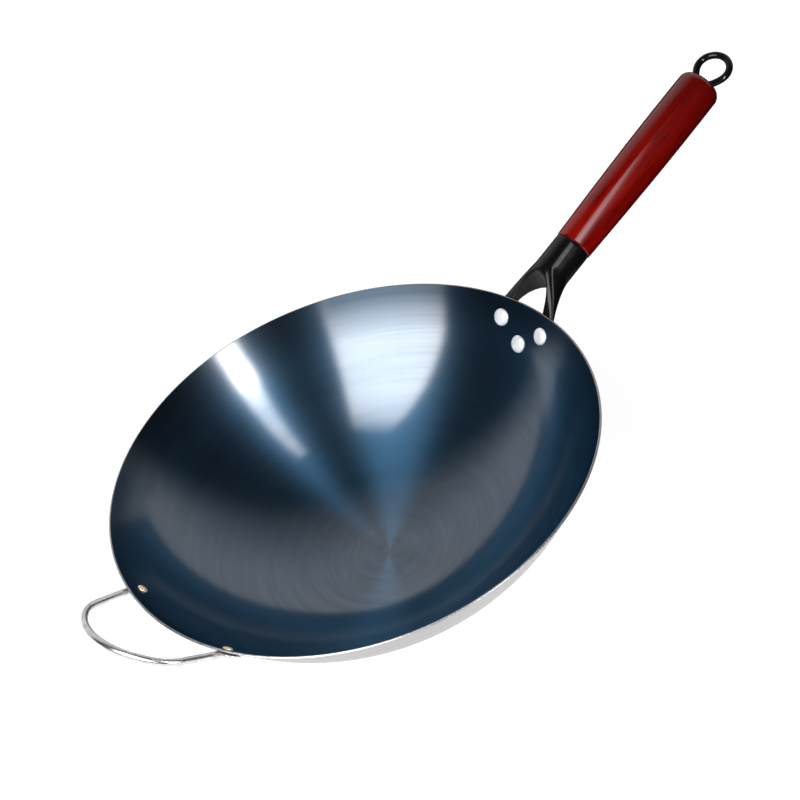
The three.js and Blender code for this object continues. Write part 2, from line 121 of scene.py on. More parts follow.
class WokBowlSettings(bpy.types.PropertyGroup):
    """Sizes and finishes of the spun bowl."""

    rim_radius: length("Rim radius", "Radius of the bowl's outer rim", BOWL_BOX[1][0])
    height: length("Height", "Height of the outer rim above the base flat", 0.093)
    sheet: length("Sheet", "Thickness of the steel sheet", 0.0015)
    flare: angle("Flare", "Slope of the straight upper wall", 55)
    base_flat: length("Base flat", "Radius of the small flat under the bowl", 0.020)
    sides: IntProperty(name="Sides", description="Faces round the bowl", default=192, min=24)
    inside: colour("Inside", "Blued steel of the inside", (0.031, 0.083, 0.148))
    outside: colour("Outside", "Ground steel of the outside", (0.50, 0.50, 0.50))
    edge: colour("Edge", "Bare steel of the cut rim", (0.42, 0.42, 0.43))


class WokBracketSettings(bpy.types.PropertyGroup):
    """Sizes and finish of the forked bracket and of the handle's line."""

    rise: angle("Rise", "Slope of the handle's axis", 14.3)
    above_rim: length("Above rim", "Height of the handle's axis over the rim", 0.0019)
    ferrule_radius: length("Ferrule radius", "Outer radius of the ferrule", 0.0131)
    ferrule_wall: length("Ferrule wall", "Wall of the ferrule", 0.0015)
    ferrule_length: length("Ferrule length", "Length of the round part of the bracket", 0.023)
    bulkhead: length("Bulkhead", "Thickness of the wall that closes the ferrule", 0.003)
    fork_length: length("Fork length", "Length of the fork from the rim to the ferrule", 0.029)
    foot_from_rim: length("Foot from rim", "Where the fork meets the wall, down from the rim", 0.008)
    foot_half_width: length("Foot half width", "Half the width of the fork at the wall", 0.027)
    foot_half_height: length("Foot half height", "Half the height of the fork at the wall", 0.003)
    gap_from_ferrule: length("Gap from ferrule", "From the ferrule to the gap's blunt top", 0.0073)
    gap_fullness: length("Gap fullness", "Pull on the gap's sides, which makes it blunt", 0.0172)
    gap_end_half_width: length("Gap end half width", "Half the gap's width at its open end", 0.0152)
    gap_past_rim: length("Gap past rim", "How far the gap's open end lies inside the rim", 0.0164)
    saddle: length("Saddle", "Thickness of the plate on the wall", 0.002)
    saddle_margin: length("Saddle margin", "Plate round each rivet's centre", 0.0085)
    paint: colour("Paint", "Black paint of the bracket and the eye", (0.0030, 0.0030, 0.0033))


class WokGripSettings(bpy.types.PropertyGroup):
    """Sizes and colours of the turned wooden grip."""

    length: length("Length", "Length of the grip past the ferrule", 0.1515)
    neck: length("Neck radius", "Radius at the ferrule", 0.0135)
    swell: length("Swell radius", "Greatest radius", 0.0157)
    swell_at: length("Swell at", "Distance of the greatest radius from the ferrule", 0.118)
    end_round: length("End round", "Rounding of the grip's end", 0.007)
    tenon: length("Tenon", "Length of the tenon in the ferrule", 0.012)
    # The two reds make a gradient of painted shade along the grip: lighter near the ferrule, darker towards
    # its end.
    lit_red: colour("Lit red", "Stained wood near the ferrule", (0.185, 0.0028, 0.0013))
    shaded_red: colour("Shaded red", "Stained wood near the end", (0.066, 0.0011, 0.0008))
    pore: colour("Pores", "Dark pores along the grain", (0.040, 0.0008, 0.0006))


class WokEyeSettings(bpy.types.PropertyGroup):
    """Sizes of the tie rod and its eye."""

    rod: length("Rod radius", "Radius of the rod and of the eye's wire", 0.0025)
    half_width: length("Eye half width", "Half the eye's width at the middle of the wire", 0.0121)
    half_length: length("Eye half length", "Half the eye's length at the middle of the wire", 0.0115)
    centre: length("Eye centre", "From the end of the grip to the middle of the eye", 0.0129)
    sunk: length("Sunk", "Depth of the eye's seat in the end of the grip", 0.0043)
    aside: length("Aside", "Eye off the axis of the rod", 0.0009)
    turn: angle("Turn", "Turn of the eye about the handle", 8)
    nut: colour("Nut", "Plain steel of the nut that holds the rod", (0.55, 0.55, 0.56))


class WokRivetSettings(bpy.types.PropertyGroup):
    """Sizes and colour of the long handle's rivets."""

    upper_from_rim: length("Upper from rim", "Upper rivets, down the wall from the rim", 0.0146)
    upper_spacing: length("Upper spacing", "Distance between the upper rivets", 0.0394)
    lower_from_rim: length("Lower from rim", "Lower rivet, down the wall from the rim", 0.0281)
    shank: length("Shank radius", "Radius of the shank", 0.0025)
    head: length("Head radius", "Radius of the domed head", 0.0061)
    head_height: length("Head height", "Height of the domed head", 0.0022)
    tail: length("Tail radius", "Radius of the set tail", 0.0044)
    tail_height: length("Tail height", "Height of the set tail", 0.0018)
    metal: colour("Metal", "Aluminium of the rivets", (0.95, 0.95, 0.96))


class WokHelperSettings(bpy.types.PropertyGroup):
    """Sizes and colours of the wire helper handle and its rivets."""

    wire: length("Wire radius", "Radius of the wire", 0.0025)
    from_rim: length("Rivets from rim", "Rivets, down the wall from the rim", 0.0131)
    spacing: length("Rivet spacing", "Distance between the rivets", 0.0928)
    rise: angle("Rise", "Slope of the loop", 34)
    reach: length("Reach", "Reach of the loop from the rivets", 0.066)
    corner_half_width: length("Corner half width", "Half the width of the loop at its corners", 0.0438)
    bow_rise: length("Bow rise", "How far the outer bow stands past the corners", 0.0256)
    corner_radius: length("Corner radius", "Length of wire bent at each corner", 0.0066)
    paddle_half_width: length("Paddle half width", "Half the width of the flattened ends", 0.009)
    paddle: length("Paddle", "Thickness of the flattened ends", 0.0016)
    paddle_tip: length("Paddle tip", "Length of a flattened end past its rivet", 0.010)
    shank: length("Shank radius", "Radius of the rivets' shanks", 0.002)
    head: length("Head radius", "Radius of the rivets' heads", 0.0036)
    head_height: length("Head height", "Height of the rivets' heads", 0.0016)
    steel: colour("Steel", "Bright steel of the wire", (0.74, 0.74, 0.75))
    brass: colour("Brass", "Brass of the rivets", (0.90, 0.72, 0.54))


class WokStageSettings(bpy.types.PropertyGroup):
    """The studio."""

    floor: colour("Floor", "Pale floor", (0.30, 0.30, 0.30))
    floor_glow: brightness("Floor glow", "Brightness of the floor to the camera and in the metal", 0.80)
    wall: brightness("Back wall", "Brightness of the white back wall", 0.77)
    ceiling: brightness("Ceiling", "Brightness of the studio overhead", 0.02)
    left_softbox: brightness("Left softbox", "Brightness of the left softbox", 8.0)
    right_softbox: brightness("Right softbox", "Brightness of the right softbox", 38.0)
    lens: FloatProperty(name="Lens", description="Focal length", default=114.2, unit="CAMERA")


# Node trees

class Value:
    """A node's output, so that shader maths reads as a plain expression."""

    def __init__(self, tree, socket):
        self.tree = tree
        self.socket = socket

    def math(self, operation, first, second=0.0):
        """A Math node on two values."""
        return self.tree.add("ShaderNodeMath", {"operation": operation}, {0: first, 1: second})

    def __add__(self, other):
        return self.math("ADD", self, other)

    def __radd__(self, other):
        return self.math("ADD", other, self)

    def __sub__(self, other):
        return self.math("SUBTRACT", self, other)

    def __rsub__(self, other):
        return self.math("SUBTRACT", other, self)

    def __mul__(self, other):
        return self.math("MULTIPLY", self, other)

    def __rmul__(self, other):
        return self.math("MULTIPLY", other, self)

    def __truediv__(self, other):
        return self.math("DIVIDE", self, other)

    def __rtruediv__(self, other):
        return self.math("DIVIDE", other, self)

    def __pow__(self, other):
        return self.math("POWER", self, other)

    def __rpow__(self, other):
        return self.math("POWER", other, self)

    def xyz(self):
        """The three parts of a vector."""
        split = self.tree.add("ShaderNodeSeparateXYZ", {}, {0: self}).socket.node
        return [Value(self.tree, output) for output in split.outputs]


class Tree:
    """A node tree that is filled from Python expressions."""

    def __init__(self, node_tree):
        self.nodes = node_tree.nodes
        self.links = node_tree.links
        self.nodes.clear()

    def add(self, kind, settings=None, inputs=None, output=0):
        """Adds a node: its settings first, then the values or links of its sockets."""
        node = self.nodes.new(kind)
        for name, setting in (settings or {}).items():
            if name == "stops":
                self.set_stops(node.color_ramp.elements, setting)
            else:
                setattr(node, name, setting)
        for key, value in (inputs or {}).items():
            socket = node.inputs[key]
            if isinstance(value, Value):
                self.links.new(value.socket, socket)
            elif socket.type == "RGBA":
                socket.default_value = (*tuple(value)[:3], 1.0)
            else:
                socket.default_value = value
        return Value(self, node.outputs[output]) if node.outputs else node

    @staticmethod
    def set_stops(elements, stops):
        """Gives a ramp its stops, each a place and a grey."""
        while len(elements) < len(stops):
            elements.new(1.0)
        for element, (place, grey) in zip(elements, stops):
            element.position = place
            element.color = (grey, grey, grey, 1.0)

    def mix(self, factor, first, second):
        """A blend of two colours."""
        settings = {"data_type": "RGBA", "clamp_factor": True}
        return self.add("ShaderNodeMix", settings, {0: factor, 6: first, 7: second}, output=2)

    def combine(self, x, y, z):
        """A vector from three values."""
        return self.add("ShaderNodeCombineXYZ", {}, {0: x, 1: y, 2: z})

    def noise(self, vector, scale, detail, roughness=0.5):
        """A noise from 0 to 1."""
        inputs = {"Vector": vector, "Scale": scale, "Detail": detail, "Roughness": roughness}
        return self.add("ShaderNodeTexNoise", {}, inputs)

    def spread(self, value, low, high, to_low=0.0, to_high=1.0):
        """A value taken from one range to another and held there."""
        inputs = {0: value, 1: low, 2: high, 3: to_low, 4: to_high}
        return self.add("ShaderNodeMapRange", {"clamp": True}, inputs)

    def bump(self, height, distance, strength):
        """A bumped normal."""
        return self.add("ShaderNodeBump", {}, {"Strength": strength, "Distance": distance, "Height": height})

    def surface(self, inputs):
        """The surface shader and the material's output."""
        shader = self.add("ShaderNodeBsdfPrincipled", {}, inputs)
        self.add("ShaderNodeOutputMaterial", {}, {"Surface": shader})


def new_finish(name):
    """A new material and its tree."""
    material = bpy.data.materials.new(name)
    material.use_nodes = True
    return material, Tree(material.node_tree)


def position(tree):
    """Object coordinates."""
    return tree.add("ShaderNodeTexCoord", output="Object")


# Finishes

def spun_marks(tree):
    """Marks of spinning about Z: the radius, then fine rings, broad rings and streaks across them, 0 to 1."""
    x, y, z = position(tree).xyz()
    radius = (x * x + y * y) ** 0.5
    across, along = x / (radius + 1e-5), y / (radius + 1e-5)
    run = radius + z
    rings = tree.noise(tree.combine(across * 1.5, along * 1.5, run * 800), 1.0, 3.0, 0.7)
    bands = tree.noise(tree.combine(across * 0.8, along * 0.8, run * 130), 1.0, 3.0)
    streaks = tree.noise(tree.combine(across * 42, along * 42, run * 9), 1.0, 4.0, 0.6)
    return radius, rings, bands, streaks


def blued_steel(settings):
    """Inside of the bowl: spun steel with a blue oxide, drawn darker and greyer near the rim as painted
    shade, under a clear film that thins at the rim.
    """
    material, tree = new_finish("blued_spun_steel")
    radius, rings, bands, streaks = spun_marks(tree)
    blue = settings.inside
    deep = [0.84 * c for c in blue]
    # Painted shade: near the rim the blue is drawn darker and greyer.
    grey = (0.70 * blue[0], 0.52 * blue[1], 0.48 * blue[2])
    near_rim = tree.spread(radius, 0.88 * settings.rim_radius, 0.975 * settings.rim_radius)
    thinning = near_rim * tree.spread(position(tree).xyz()[1] / radius, 0.80, 0.97, 0.86, 0.15)
    oxide = tree.mix(tree.spread(streaks * 0.2 + bands * 0.4 + rings * 0.4, 0.35, 0.65), deep, blue)
    film = tree.spread(bands * 0.3 + rings * 0.7, 0.40, 0.62, 0.76, 1.0)
    tree.surface({
        "Base Color": tree.mix(near_rim, oxide, grey),
        "Metallic": 1.0,
        "Roughness": tree.spread(rings * 0.7 + bands * 0.3, 0.3, 0.7, 0.39, 0.47),
        "Specular Tint": (0.25, 0.32, 0.40),
        "Anisotropic": 0.88,
        "Anisotropic Rotation": 0.25,
        "Coat Weight": film * (1 - thinning),
        "Coat Roughness": 0.125,
        "Coat IOR": 1.95,
        "Normal": tree.bump(rings * 0.6 + bands * 0.4, 0.00005, 0.4),
    })
    return material


def ground_steel(settings):
    """Outside of the bowl: bare steel ground on the lathe."""
    material, tree = new_finish("ground_steel")
    _, rings, bands, streaks = spun_marks(tree)
    dull = [0.76 * c for c in settings.outside]
    shine = tree.spread(bands * 0.5 + rings * 0.4 + streaks * 0.1, 0.38, 0.62)
    tree.surface({
        "Base Color": tree.mix(shine, dull, settings.outside),
        "Metallic": 1.0,
        "Roughness": tree.spread(rings, 0.3, 0.7, 0.32, 0.46),
        "Anisotropic": 0.6,
        "Anisotropic Rotation": 0.25,
        "Normal": tree.bump(rings * 0.7 + bands * 0.3, 0.00008, 0.5),
    })
    return material


def cut_edge(settings):
    """The rim's cut edge: bare bright steel with fine nicks."""
    material, tree = new_finish("cut_steel_edge")
    nicks = tree.noise(position(tree), 900.0, 3.0)
    dull = [0.7 * c for c in settings.edge]
    tree.surface({
        "Base Color": tree.mix(tree.spread(nicks, 0.35, 0.6), dull, settings.edge),
        "Metallic": 1.0,
        "Roughness": tree.spread(nicks, 0.3, 0.7, 0.25, 0.45),
        "Normal": tree.bump(nicks, 0.0001, 0.3),
    })
    return material


def black_paint(name, paint):
    """Thick gloss black paint, a little uneven."""
    material, tree = new_finish(name)
    place = position(tree)
    waves = tree.noise(place, 160.0, 2.0)
    specks = tree.noise(place, 2600.0, 2.0)
    worn = [2.2 * c for c in paint]
    tree.surface({
        "Base Color": tree.mix(tree.spread(specks, 0.55, 0.75), paint, worn),
        "Roughness": tree.spread(waves * 0.6 + specks * 0.4, 0.3, 0.7, 0.20, 0.32),
        "Specular IOR Level": 0.05,
        "Coat Weight": tree.spread(waves, 0.3, 0.7, 0.38, 0.52),
        "Coat Roughness": 0.06,
        "Normal": tree.bump(waves * 0.7 + specks * 0.3, 0.00012, 0.35),
    })
    return material


def red_wood(settings, place):
    """Stained and varnished hardwood, with its grain along the handle, and painted shade that darkens it
    towards the grip's end.
    """
    material, tree = new_finish("red_varnished_wood")
    mapping = {"Location": place.to_translation(), "Rotation": place.to_euler()}
    local = tree.add("ShaderNodeMapping", {"vector_type": "TEXTURE"}, {"Vector": position(tree), **mapping})
    along, side, up = local.xyz()
    figure = tree.noise(tree.combine(along * 14, side * 190, up * 190), 1.0, 4.0, 0.6)
    pores = tree.noise(tree.combine(along * 34, side * 800, up * 800), 1.0, 4.0, 0.65)
    flecks = tree.noise(tree.combine(along * 120, side * 900, up * 900), 1.0, 2.0)
    # Painted shade: the red is drawn lighter near the ferrule and darker towards the grip's end.
    shade_towards_end = tree.spread(along + figure * 0.03, 0.0, settings.length + 0.02)
    stain = tree.mix(shade_towards_end ** 1.6, settings.lit_red, settings.shaded_red)
    deep = [0.50 * c for c in settings.lit_red]
    stain = tree.mix(tree.spread(figure, 0.42, 0.66, 0.0, 0.85), stain, deep)
    stain = tree.mix(tree.spread(pores, 0.52, 0.66, 0.0, 0.9), stain, settings.pore)
    tree.surface({
        "Base Color": stain,
        "Roughness": tree.spread(flecks, 0.3, 0.7, 0.42, 0.58),
        "Specular IOR Level": 0.0,
        "Coat Weight": tree.spread(figure, 0.2, 0.8, 0.75, 1.0),
        "Coat Roughness": 0.11,
        "Coat IOR": 1.5,
        "Normal": tree.bump(figure * 0.5 - pores * 0.5, 0.00018, 0.3),
    })
    return material


def bright_metal(name, tone, roughness, grain, depth=0.3, metallic=1.0):
    """Plain metal with fine scratches and a little tarnish."""
    material, tree = new_finish(name)
    place = position(tree)
    tarnish = tree.noise(place, 220.0, 3.0)
    scratches = tree.noise(place, grain, 3.0, 0.6)
    dull = [0.78 * c for c in tone]
    tree.surface({
        "Base Color": tree.mix(tree.spread(tarnish, 0.4, 0.7), tone, dull),
        "Metallic": metallic,
        "Roughness": tree.spread(scratches, 0.3, 0.7, roughness - 0.05, roughness + 0.07),
        "Normal": tree.bump(scratches, 0.00006, depth),
    })
    return material


# Meshes

def add_object(name, data):
    """Puts a mesh, a lamp or a camera in the scene at the origin."""
    piece = bpy.data.objects.new(name, data)
    bpy.context.scene.collection.objects.link(piece)
    return piece


def add_mesh(name, points, faces, edges=()):
    """A new object from points and faces."""
    mesh = bpy.data.meshes.new(name)
    mesh.from_pydata([tuple(p) for p in points], list(edges), faces)
    mesh.update()
    return add_object(name, mesh)


def soften(piece, sharp_degrees):
    """Smooth shading, with edges kept where the surface really turns."""
    piece.data.shade_smooth()
    piece.data.set_sharp_from_angle(angle=math.radians(sharp_degrees))


def dress(piece, *finishes):
    """Gives a piece its finishes, in place of any that it has."""
    piece.data.materials.clear()
    for finish in finishes:
        piece.data.materials.append(finish)


def axes(origin, x, y, z):
    """A frame at a place, from the ways of its axes."""
    place = Matrix((x, y, z)).transposed().to_4x4()
    place.translation = origin
    return place


def turns(sides):
    """Angles round a full turn."""
    return [math.tau * i / sides for i in range(sides)]


def shares(steps, first=0):
    """Even shares of 1, one for each step."""
    return [i / steps for i in range(first, steps + 1)]


def eased(t):
    """A share from 0 to 1 that starts and ends softly."""
    return t * t * (3 - 2 * t)


def skin(name, rings, closed=False, capped=False):
    """A skin through rings of points. A ring of one point is a pole."""
    points = []
    starts = []
    for ring in rings:
        starts.append(len(points))
        points += ring
    faces = []
    spans = len(rings) if closed else len(rings) - 1
    for i in range(spans):
        j = (i + 1) % len(rings)
        near, far = starts[i], starts[j]
        count = max(len(rings[i]), len(rings[j]))
        for k in range(count):
            n = (k + 1) % count
            if len(rings[i]) == 1:
                faces.append((near, far + n, far + k))
            elif len(rings[j]) == 1:
                faces.append((near + k, near + n, far))
            else:
                faces.append((near + k, near + n, far + n, far + k))
    if capped:
        faces.append(tuple(range(len(rings[0]) - 1, -1, -1)))
        faces.append(tuple(range(starts[-1], starts[-1] + len(rings[-1]))))
    return add_mesh(name, points, faces)


def turned(name, profile, sides, place=None, closed=False):
    """A profile of radius and height turned about Z and put in its place."""
    place = place or Matrix.Identity(4)
    spokes = [(math.cos(t), math.sin(t)) for t in turns(sides)]
    rings = []
    for radius, height in profile:
        ways = spokes if radius else [(0, 0)]
        rings.append([place @ Vector((radius * x, radius * y, height)) for x, y in ways])
    return skin(name, rings, closed)


def oval(centre, across, up, a, b, sides, power=2.0):
    """A ring of points on an oval. A power above 2 makes it squarer."""
    def full(v):
        return math.copysign(abs(v) ** (2 / power), v)

    return [centre + across * a * full(math.cos(t)) + up * b * full(math.sin(t)) for t in turns(sides)]


def prism(name, outline, low, high, place):
    """An outline in XY drawn from one height to another."""
    rings = [[place @ Vector((x, y, z)) for x, y in outline] for z in (low, high)]
    return skin(name, rings, capped=True)


def settled(piece):
    """Replaces a piece's mesh by what its modifiers make, and removes them."""
    before = piece.data
    depsgraph = bpy.context.evaluated_depsgraph_get()
    after = bpy.data.meshes.new_from_object(piece.evaluated_get(depsgraph), depsgraph=depsgraph)
    piece.modifiers.clear()
    piece.data = after
    after.name = before.name
    bpy.data.meshes.remove(before)
    return piece


def combine(piece, operation, *others):
    """Adds, cuts or keeps what is common with other solids, which are used up."""
    for other in others:
        cut = piece.modifiers.new("cut", "BOOLEAN")
        cut.operation = operation
        cut.solver = "EXACT"
        cut.object = other
        settled(piece)
        mesh = other.data
        bpy.data.objects.remove(other)
        bpy.data.meshes.remove(mesh)
    return piece


def hand_over(piece, slot, *nodes):
    """Puts a piece on the wok's body and hides the solids that it stands for."""
    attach(piece, BODY)
    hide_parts(*nodes)


# The bowl's wall

def arc_radius(bowl):
    """Radius of the bottom arc, tangent to the base flat and to the straight wall."""
    run = (bowl.rim_radius - bowl.base_flat) * math.tan(bowl.flare) - bowl.height
    return run / (1 / math.cos(bowl.flare) - 1)


def cone_length(bowl):
    """Length of the straight upper wall."""
    foot = bowl.base_flat + arc_radius(bowl) * math.sin(bowl.flare)
    return (bowl.rim_radius - foot) / math.cos(bowl.flare)


def wall_slope(bowl, from_rim):
    """Slope of the wall at a distance down it from the rim."""
    return bowl.flare - max(0.0, from_rim - cone_length(bowl)) / arc_radius(bowl)


def wall_point(bowl, from_rim, offset=0.0):
    """Radius and height of the outer wall there, moved outwards by an offset."""
    slope = wall_slope(bowl, from_rim)
    if from_rim < cone_length(bowl):
        radius = bowl.rim_radius - from_rim * math.cos(slope)
        height = bowl.height - from_rim * math.sin(slope)
    else:
        radius = bowl.base_flat + arc_radius(bowl) * math.sin(slope)
        height = arc_radius(bowl) * (1 - math.cos(slope))
    return radius + offset * math.sin(slope), height - offset * math.cos(slope)


def wall_profile(bowl, offset, arc_steps=44, cone_steps=10):
    """Points of the wall from the base flat up to the rim."""
    straight = cone_length(bowl)
    arc = arc_radius(bowl) * bowl.flare
    points = [wall_point(bowl, straight + arc * (1 - t), offset) for t in shares(arc_steps)]
    points += [wall_point(bowl, straight * (1 - t), offset) for t in shares(cone_steps, 1)]
    return points


def wall_place(bowl, from_rim, y, side):
    """A place on the outer wall, with the ways out of the wall and up it."""
    radius, height = wall_point(bowl, from_rim)
    slope = wall_slope(bowl, from_rim)
    turn = math.asin(y / radius)
    around = Vector((side * math.cos(turn), math.sin(turn), 0))
    outwards = around * math.sin(slope) - UP * math.cos(slope)
    up_wall = around * math.cos(slope) + UP * math.sin(slope)
    return around * radius + UP * height, outwards, up_wall


def handle_place(bowl, bracket):
    """The handle's own frame: X along its axis from the mouth of the ferrule, Z up."""
    run = bracket.fork_length + bracket.ferrule_length
    mouth = Vector((
        bowl.rim_radius + run * math.cos(bracket.rise),
        0,
        bowl.height + bracket.above_rim + run * math.sin(bracket.rise),
    ))
    return Matrix.Translation(mouth) @ Matrix.Rotation(-bracket.rise, 4, "Y")


def along_handle(bowl, bracket):
    """A frame whose Z runs along the handle, for turned pieces."""
    return handle_place(bowl, bracket) @ Matrix.Rotation(math.pi / 2, 4, "Y")


def eye_stations(scene, radius):
    """Stations for a wire of a given radius round the eye's loop."""
    bowl, bracket, grip, eye = scene.wok_bowl, scene.wok_bracket, scene.wok_grip, scene.wok_eye
    pull = eye.sunk + eye.centre - eye.half_length - eye.rod
    place = handle_place(bowl, bracket) @ Matrix.Translation((grip.length + eye.centre, 0, 0))
    place = place @ Matrix.Rotation(eye.turn, 4, "X") @ Matrix.Translation((0, eye.aside, 0))
    turn = place.to_3x3()
    count = 72
    seat_from = 0.4
    line = []
    for t in turns(count):
        into_seat = max(0.0, -math.cos(t) - seat_from) / (1 - seat_from)
        line.append(Vector((
            eye.half_length * math.cos(t) - pull * into_seat * into_seat,
            eye.half_width * math.sin(t),
            0,
        )))
    stations = []
    for i, spot in enumerate(line):
        way = (line[(i + 1) % count] - line[i - 1]).normalized()
        across = turn @ Vector((way.y, -way.x, 0))
        stations.append((place @ spot, across, turn @ UP, radius, radius))
    return stations


def rivet_places(scene):
    """Places of the long handle's rivets."""
    bowl, rivets = scene.wok_bowl, scene.wok_rivets
    half = rivets.upper_spacing / 2
    return [
        wall_place(bowl, rivets.upper_from_rim, half, 1),
        wall_place(bowl, rivets.upper_from_rim, -half, 1),
        wall_place(bowl, rivets.lower_from_rim, 0, 1),
    ]


def helper_rivet_places(scene):
    """Places of the helper handle's rivets."""
    bowl, helper = scene.wok_bowl, scene.wok_helper
    half = helper.spacing / 2
    return [wall_place(bowl, helper.from_rim, y, -1) for y in (half, -half)]


def wall_drill(place, radius, low, high):
    """A cylinder square to the wall, between two distances out of it."""
    point, outwards, _ = place
    turn = UP.rotation_difference(outwards).to_matrix().to_4x4()
    profile = [(0, low), (radius, low), (radius, high), (0, high)]
    sides = 32
    return turned("drill", profile, sides, Matrix.Translation(point) @ turn)


# Geometry nodes

def new_geometry_tree(name, inputs):
    """A geometry tree with named inputs. Gives its builder, its group input and its sockets by name."""
    group = bpy.data.node_groups.new(name, "GeometryNodeTree")
    faces = group.interface
    faces.new_socket("Geometry", in_out="INPUT", socket_type="NodeSocketGeometry")
    for socket, kind in inputs.items():
        faces.new_socket(socket, in_out="INPUT", socket_type=kind)
    faces.new_socket("Geometry", in_out="OUTPUT", socket_type="NodeSocketGeometry")
    tree = Tree(group)
    source = tree.add("NodeGroupInput").socket.node
    sockets = {output.name: Value(tree, output) for output in source.outputs if output.name}
    return group, tree, sockets


def run_geometry_tree(piece, group, values):
    """Runs a tree on a piece with values for its named inputs and keeps the plain mesh."""
    modifier = piece.modifiers.new(group.name, "NODES")
    modifier.node_group = group
    for item in group.interface.items_tree:
        if item.item_type == "SOCKET" and item.in_out == "INPUT" and item.name in values:
            modifier[item.identifier] = values[item.name]
    return settled(piece)


def end_geometry_tree(tree, geometry, material):
    """Ends a tree with real meshes and their material."""
    real = tree.add("GeometryNodeRealizeInstances", {}, {"Geometry": geometry})
    shown = tree.add("GeometryNodeSetMaterial", {}, {"Geometry": real, "Material": material})
    tree.add("NodeGroupOutput", {}, {0: shown})


def vector_math(tree, operation, first, second):
    """Vector maths in a geometry tree. A dot product gives a number."""
    output = "Value" if operation == "DOT_PRODUCT" else "Vector"
    key = "Scale" if operation == "SCALE" else 1
    return tree.add("ShaderNodeVectorMath", {"operation": operation}, {0: first, key: second}, output=output)


def sweep_tree():
    """A tree that draws an oval section along a line of points.

    Each point carries its centre, the ways across and facing, and the section's half sizes.
    """
    inputs = {"Sides": "NodeSocketInt", "Material": "NodeSocketMaterial"}
    group, tree, given = new_geometry_tree("wire_sweep", inputs)

    def carried(name, kind="FLOAT_VECTOR"):
        return tree.add("GeometryNodeInputNamedAttribute", {"data_type": kind}, {"Name": name})

    line = tree.add("GeometryNodeMeshToCurve", {}, {"Mesh": given["Geometry"]})
    circle = tree.add("GeometryNodeCurvePrimitiveCircle", {}, {"Resolution": given["Sides"], "Radius": 0.001})
    curves = {"Curve": line, "Profile Curve": circle, "Fill Caps": True}
    tube = tree.add("GeometryNodeCurveToMesh", {}, curves)
    centre, across, facing = carried("centre"), carried("across"), carried("facing")
    spoke = vector_math(tree, "SUBTRACT", tree.add("GeometryNodeInputPosition"), centre)
    side = vector_math(tree, "DOT_PRODUCT", spoke, across)
    front = vector_math(tree, "DOT_PRODUCT", spoke, facing)
    size = (side * side + front * front) ** 0.5
    wide = side / size * carried("half_width", "FLOAT")
    high = front / size * carried("half_height", "FLOAT")
    place = vector_math(tree, "ADD", centre, vector_math(tree, "SCALE", across, wide))
    place = vector_math(tree, "ADD", place, vector_math(tree, "SCALE", facing, high))
    shaped = tree.add("GeometryNodeSetPosition", {}, {"Geometry": tube, "Position": place})
    end_geometry_tree(tree, shaped, given["Material"])
    return group


def sweep(name, stations, sides, material, closed=False):
    """A wire through stations of (centre, across, facing, half width, half height)."""
    count = len(stations)
    edges = [(i, i + 1) for i in range(count - 1)]
    if closed:
        edges.append((count - 1, 0))
    wire = add_mesh(name, [s[0] for s in stations], [], edges)
    for i, label in enumerate(("centre", "across", "facing")):
        carried = wire.data.attributes.new(label, "FLOAT_VECTOR", "POINT")
        carried.data.foreach_set("vector", [c for s in stations for c in s[i]])
    for i, label in enumerate(("half_width", "half_height"), 3):
        carried = wire.data.attributes.new(label, "FLOAT", "POINT")
        carried.data.foreach_set("value", [s[i] for s in stations])
    group = bpy.data.node_groups.get("wire_sweep") or sweep_tree()
    run_geometry_tree(wire, group, {"Sides": sides, "Material": material})
    for label in ("centre", "across", "facing", "half_width", "half_height"):
        if label in wire.data.attributes:
            wire.data.attributes.remove(wire.data.attributes[label])
    return wire


def rivet_tree():
    """A tree that sets a rivet on each point, along the way that the point carries."""
    sizes = ("Head", "Head Height", "Head Base", "Tail", "Tail Height", "Tail Base", "Shank")
    inputs = {name: "NodeSocketFloat" for name in sizes}
    inputs["Material"] = "NodeSocketMaterial"
    group, tree, given = new_geometry_tree("wall_rivets", inputs)
    bluntness = 1.25

    def dome(radius, height, base, way):
        """A domed end, made from a ball whose far half is pressed flat."""
        ball = tree.add("GeometryNodeMeshUVSphere", {}, {"Segments": 40, "Rings": 24, "Radius": 1.0})
        x, y, z = tree.add("GeometryNodeInputPosition").xyz()
        crown = tree.add("ShaderNodeMath", {"operation": "MAXIMUM"}, {0: z * way, 1: 0.0})
        crown = 1 - (1 - crown) ** bluntness
        placed = tree.combine(x * radius, y * radius, base + crown * height * way)
        return tree.add("GeometryNodeSetPosition", {}, {"Geometry": ball, "Position": placed})

    head = dome(given["Head"], given["Head Height"], given["Head Base"], 1.0)
    tail = dome(given["Tail"], given["Tail Height"], given["Tail Base"], -1.0)
    depth = given["Head Base"] - given["Tail Base"]
    stem = {"Vertices": 32, "Radius": given["Shank"], "Depth": depth}
    shank = tree.add("GeometryNodeMeshCylinder", {"fill_type": "NGON"}, stem)
    middle = tree.combine(0.0, 0.0, (given["Head Base"] + given["Tail Base"]) / 2)
    shank = tree.add("GeometryNodeTransform", {}, {"Geometry": shank, "Translation": middle})
    join = tree.add("GeometryNodeJoinGeometry", {}, {0: head})
    for other in (tail, shank):
        tree.links.new(other.socket, join.socket.node.inputs[0])
    way = tree.add("GeometryNodeInputNamedAttribute", {"data_type": "FLOAT_VECTOR"}, {"Name": "inwards"})
    turn = tree.add("FunctionNodeAlignRotationToVector", {"axis": "Z"}, {"Vector": way})
    points = {"Points": given["Geometry"], "Instance": join, "Rotation": turn}
    end_geometry_tree(tree, tree.add("GeometryNodeInstanceOnPoints", {}, points), given["Material"])
    return group


